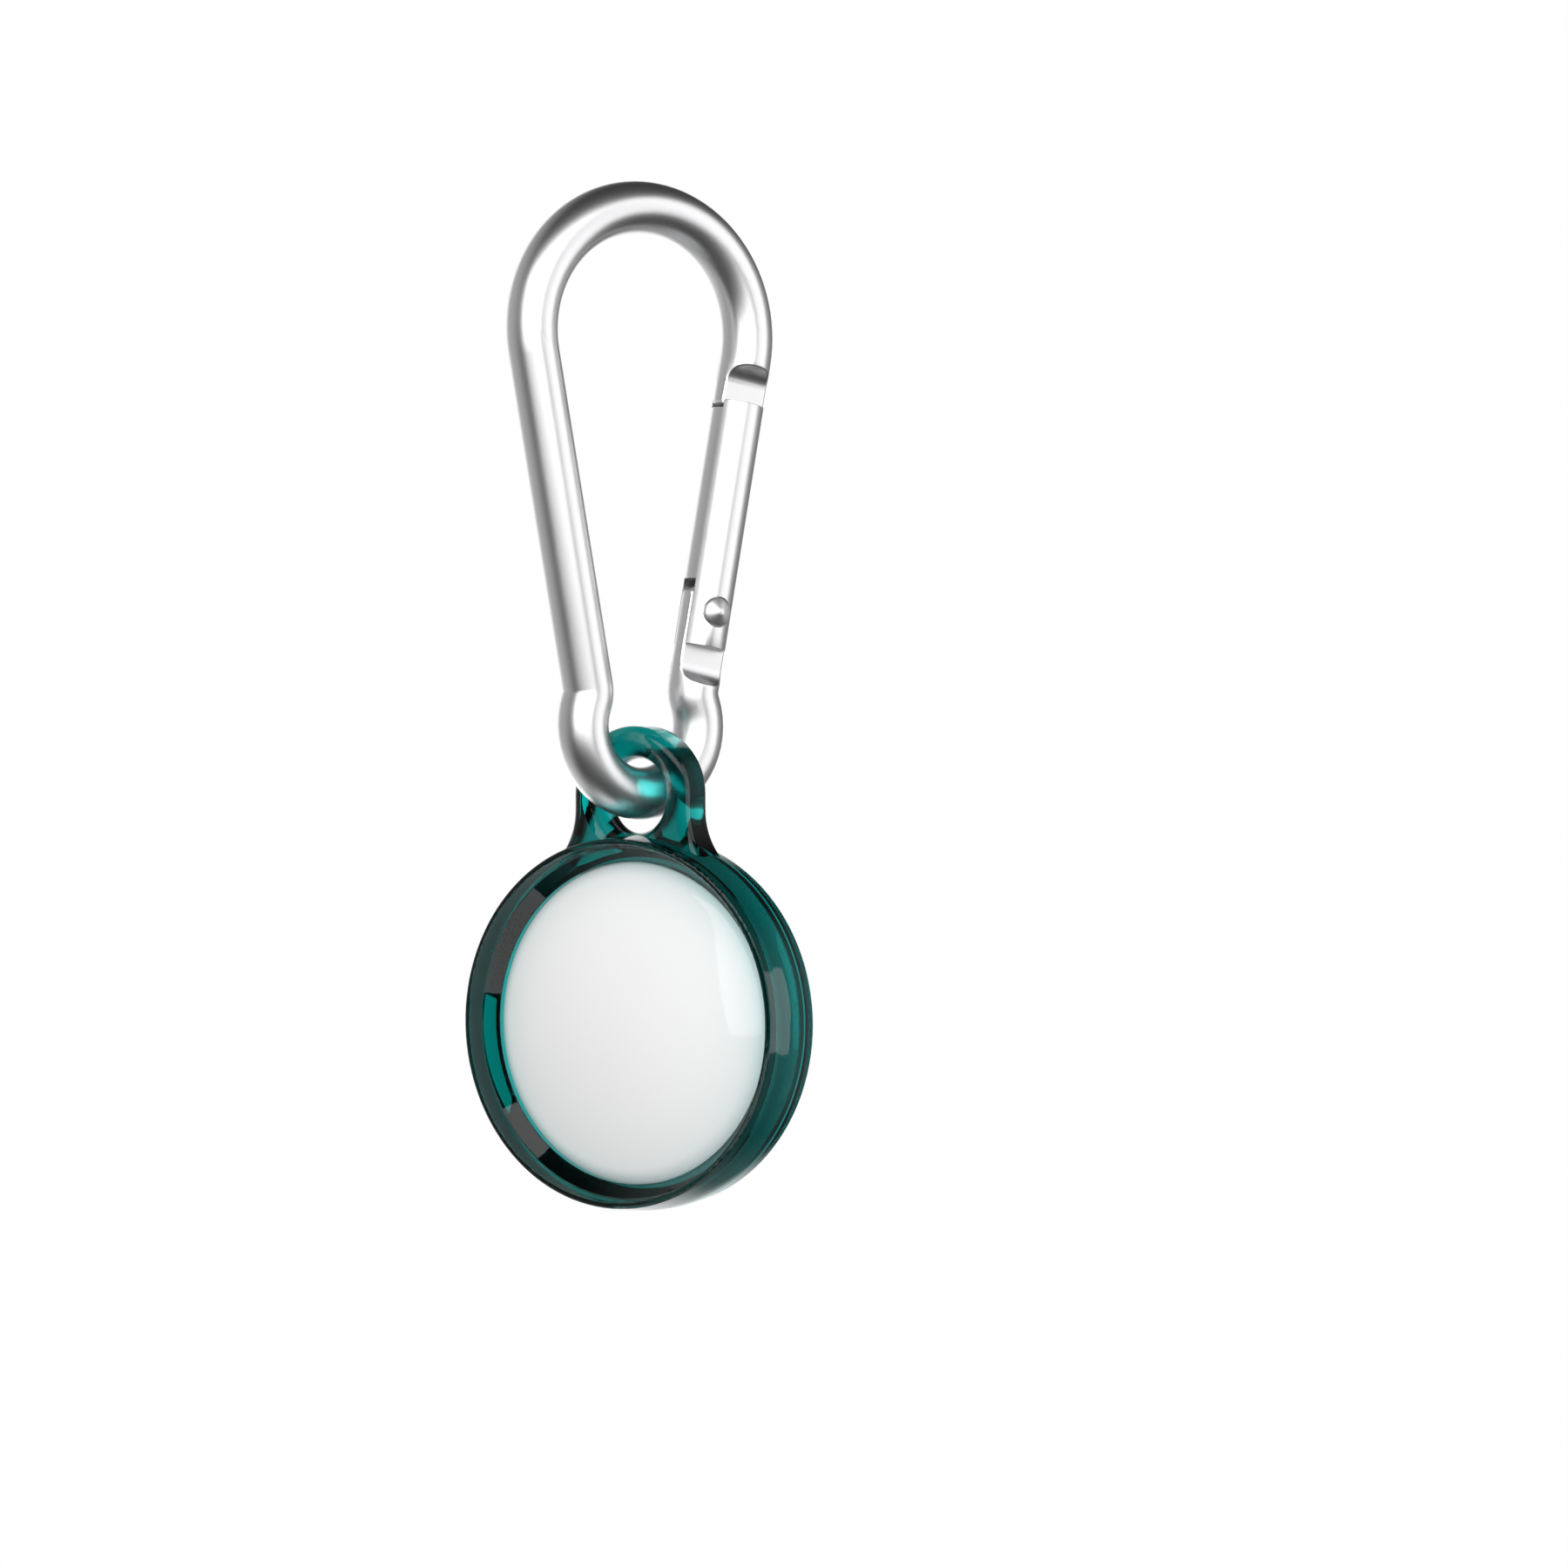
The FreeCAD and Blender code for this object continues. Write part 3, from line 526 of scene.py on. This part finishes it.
to_camera = Vector((math.sin(AZIMUTH) * math.cos(ELEVATION), -math.cos(AZIMUTH) * math.cos(ELEVATION),
                    math.sin(ELEVATION)))
right = Vector((math.cos(AZIMUTH), math.sin(AZIMUTH), 0.0))
up = to_camera.cross(right)
aim = (right * (IMAGE / 2 - HANG_PIXEL[0]) - up * (IMAGE / 2 - HANG_PIXEL[1])) * (MM / PIXELS_PER_MM)
camera = bpy.data.objects.new("camera", bpy.data.cameras.new("camera"))
bpy.context.scene.collection.objects.link(camera)
camera.data.sensor_width = SENSOR
camera.data.lens = SENSOR * DISTANCE / (IMAGE / PIXELS_PER_MM * MM)
camera.location = aim + to_camera * DISTANCE
camera.rotation_mode = "QUATERNION"
camera.rotation_quaternion = (-to_camera).to_track_quat("-Z", "Y")
camera.data.clip_start = 0.01
camera.data.clip_end = 20.0
bpy.context.scene.camera = camera
print("Camera lens in mm:", round(camera.data.lens, 1))

# %% [markdown]
# Large soft lamps stand around the holder, as in a studio. Point lamps are simpler, but glossy
# things show them as hard dots. Each softbox is given by angles as the holder sees it, because
# these say where its reflection falls and how large it is.

# %% Softboxes
MIDDLE = Vector((0.0, 0.0, -50.0)) * MM
LAMP_AWAY = 0.8


def aside(azimuth, elevation):
    """A direction from the holder: degrees to the right of the camera, and above its level."""
    a, e = math.radians(azimuth), math.radians(elevation)
    return to_camera * (math.cos(a) * math.cos(e)) + right * (math.sin(a) * math.cos(e)) + up * math.sin(e)


def softbox(name, azimuth, elevation, wide, tall, glow):
    """A rectangular lamp that faces the holder; wide and tall are the angles that it fills."""
    lamp = bpy.data.objects.new(name, bpy.data.lights.new(name, "AREA"))
    bpy.context.scene.collection.objects.link(lamp)
    lamp.data.shape = "RECTANGLE"
    lamp.data.size = 2 * LAMP_AWAY * math.tan(math.radians(wide) / 2)
    lamp.data.size_y = 2 * LAMP_AWAY * math.tan(math.radians(tall) / 2)
    lamp.data.energy = glow * math.pi * lamp.data.size * lamp.data.size_y
    lamp.location = MIDDLE + aside(azimuth, elevation) * LAMP_AWAY
    lamp.rotation_mode = "QUATERNION"
    lamp.rotation_quaternion = (-aside(azimuth, elevation)).to_track_quat("-Z", "Y")
    lamp.visible_camera = False
    print("Lamp", name, "is", round(lamp.data.size, 2), "by", round(lamp.data.size_y, 2), "m")
    return lamp


print("Softboxes stand", LAMP_AWAY, "m from the holder")

# %% [markdown]
# Clear plastic shows a lamp on its surface and through its body, so the case needs its own: the
# key lights everything else, and light linking gives the case two lamps, above and below, that
# leave its middle dark. The strip on the right brightens that side of the bar. The gleam beside it
# is hidden from diffuse and glossy rays, so it shows only through the plastic, as the bright
# crescent in the bezel.

# %% Lamps
def link_case(lamp, state):
    """Makes a lamp light the clear case alone, or everything but it."""
    linked = bpy.data.collections.new(lamp.name + "_case")
    linked.objects.link(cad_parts["holder_case"])
    linked.collection_objects[0].light_linking.link_state = state
    lamp.light_linking.receiver_collection = linked


link_case(softbox("key", 3, 21, wide=84, tall=56, glow=1.95), "EXCLUDE")
case_key = softbox("case_key", 3, 45, wide=84, tall=24, glow=1.95)
case_floor = softbox("case_floor", 4, -38, wide=80, tall=46, glow=1.4)
for lamp in (case_key, case_floor):
    link_case(lamp, "INCLUDE")
    lamp.visible_transmission = False
strip = softbox("strip", 80, 10, wide=48, tall=56, glow=1.2)
strip.visible_transmission = False
gleam = softbox("gleam", 88, 12, wide=38, tall=52, glow=3.0)
gleam.visible_diffuse = False
gleam.visible_glossy = False

# %% [markdown]
# The world is not the same for every kind of ray. The camera sees plain white. Diffuse light comes
# from a grey that is brighter above, which keeps the white tag from burning out.
# Reflections and refractions see a dark room with four bright areas: bare metal and clear plastic
# look like what is around them, and the dark between the lights gives the bar its streaks and the
# case its depth. An all-white world is simpler, but it makes both flat. The world is not sampled
# as a lamp, because such samples do not say which kind of ray they are for.

# %% World
ROOM_DARK = 0.03
FILL_LEVEL = 0.5
FILL_RISE = 0.26
world = Finish(bpy.data.worlds.new("studio"))
bpy.context.scene.world = world.owner
world.owner.cycles.sampling_method = "NONE"
way = world.node("ShaderNodeTexCoord", out="Generated")


def lobe(azimuth, elevation, inner, outer):
    """One inside the inner angle from a direction, zero outside the outer angle."""
    near = world.node("ShaderNodeVectorMath", {"operation": "DOT_PRODUCT"},
                      {0: way, 1: aside(azimuth, elevation)}, out="Value")
    return world.node("ShaderNodeMapRange", {"interpolation_type": "SMOOTHSTEP"}, {
        "Value": near, "From Min": math.cos(math.radians(outer)), "From Max": math.cos(math.radians(inner))})


def ray(kind):
    """One for rays of a kind, zero for all others."""
    return world.node("ShaderNodeLightPath", out=kind)


behind = 0.93 * lobe(-165, -8, inner=22, outer=44)
far_left = 0.38 * lobe(-118, 0, inner=15, outer=76)
far_right = 0.2 * lobe(116, -2, inner=10, outer=42)
below = 0.3 * lobe(-150, -55, inner=15, outer=60)
room = ROOM_DARK + behind + far_left + far_right + below
rise = world.node("ShaderNodeSeparateXYZ", {}, {0: way}, out="Z")
fill = FILL_LEVEL + FILL_RISE * rise
mirrored = world.node("ShaderNodeClamp", {}, {0: ray("Is Glossy Ray") + ray("Is Transmission Ray")})
seen = ray("Is Camera Ray")
strength = seen + (1.0 - seen) * (fill + mirrored * (room - fill))
glow = world.node("ShaderNodeBackground", {}, {"Color": colour(1.0, 1.0, 1.0), "Strength": strength})
world.node("ShaderNodeOutputWorld", {}, {"Surface": glow})
print("World has", len(world.tree.nodes), "nodes")

# %% [markdown]
# The holder hangs free, so its floor is a pale disc well below it. It could be a wide plane, but
# that would keep the light of the world and the low lamp from coming up to the holder.

# %% Floor
FLOOR_R = 200.0 * MM
FLOOR_Z = -700.0 * MM
FLOOR_SIDES = 96
floor_finish = moulded_plastic("floor_pale", (0.80, 0.80, 0.80), 0.6, 200.0, 0.01 * MM)
disc = bmesh.new()
bmesh.ops.create_circle(disc, cap_ends=True, segments=FLOOR_SIDES, radius=FLOOR_R)
bmesh.ops.translate(disc, verts=disc.verts, vec=(0, 0, FLOOR_Z))
floor_mesh = bpy.data.meshes.new("floor")
disc.to_mesh(floor_mesh)
disc.free()
floor_mesh.materials.append(floor_finish)
floor = bpy.data.objects.new("floor", floor_mesh)
bpy.context.scene.collection.objects.link(floor)
bpy.context.scene.view_settings.view_transform = "Standard"
print("Floor is", round(-FLOOR_Z / MM), "mm below the hang point")
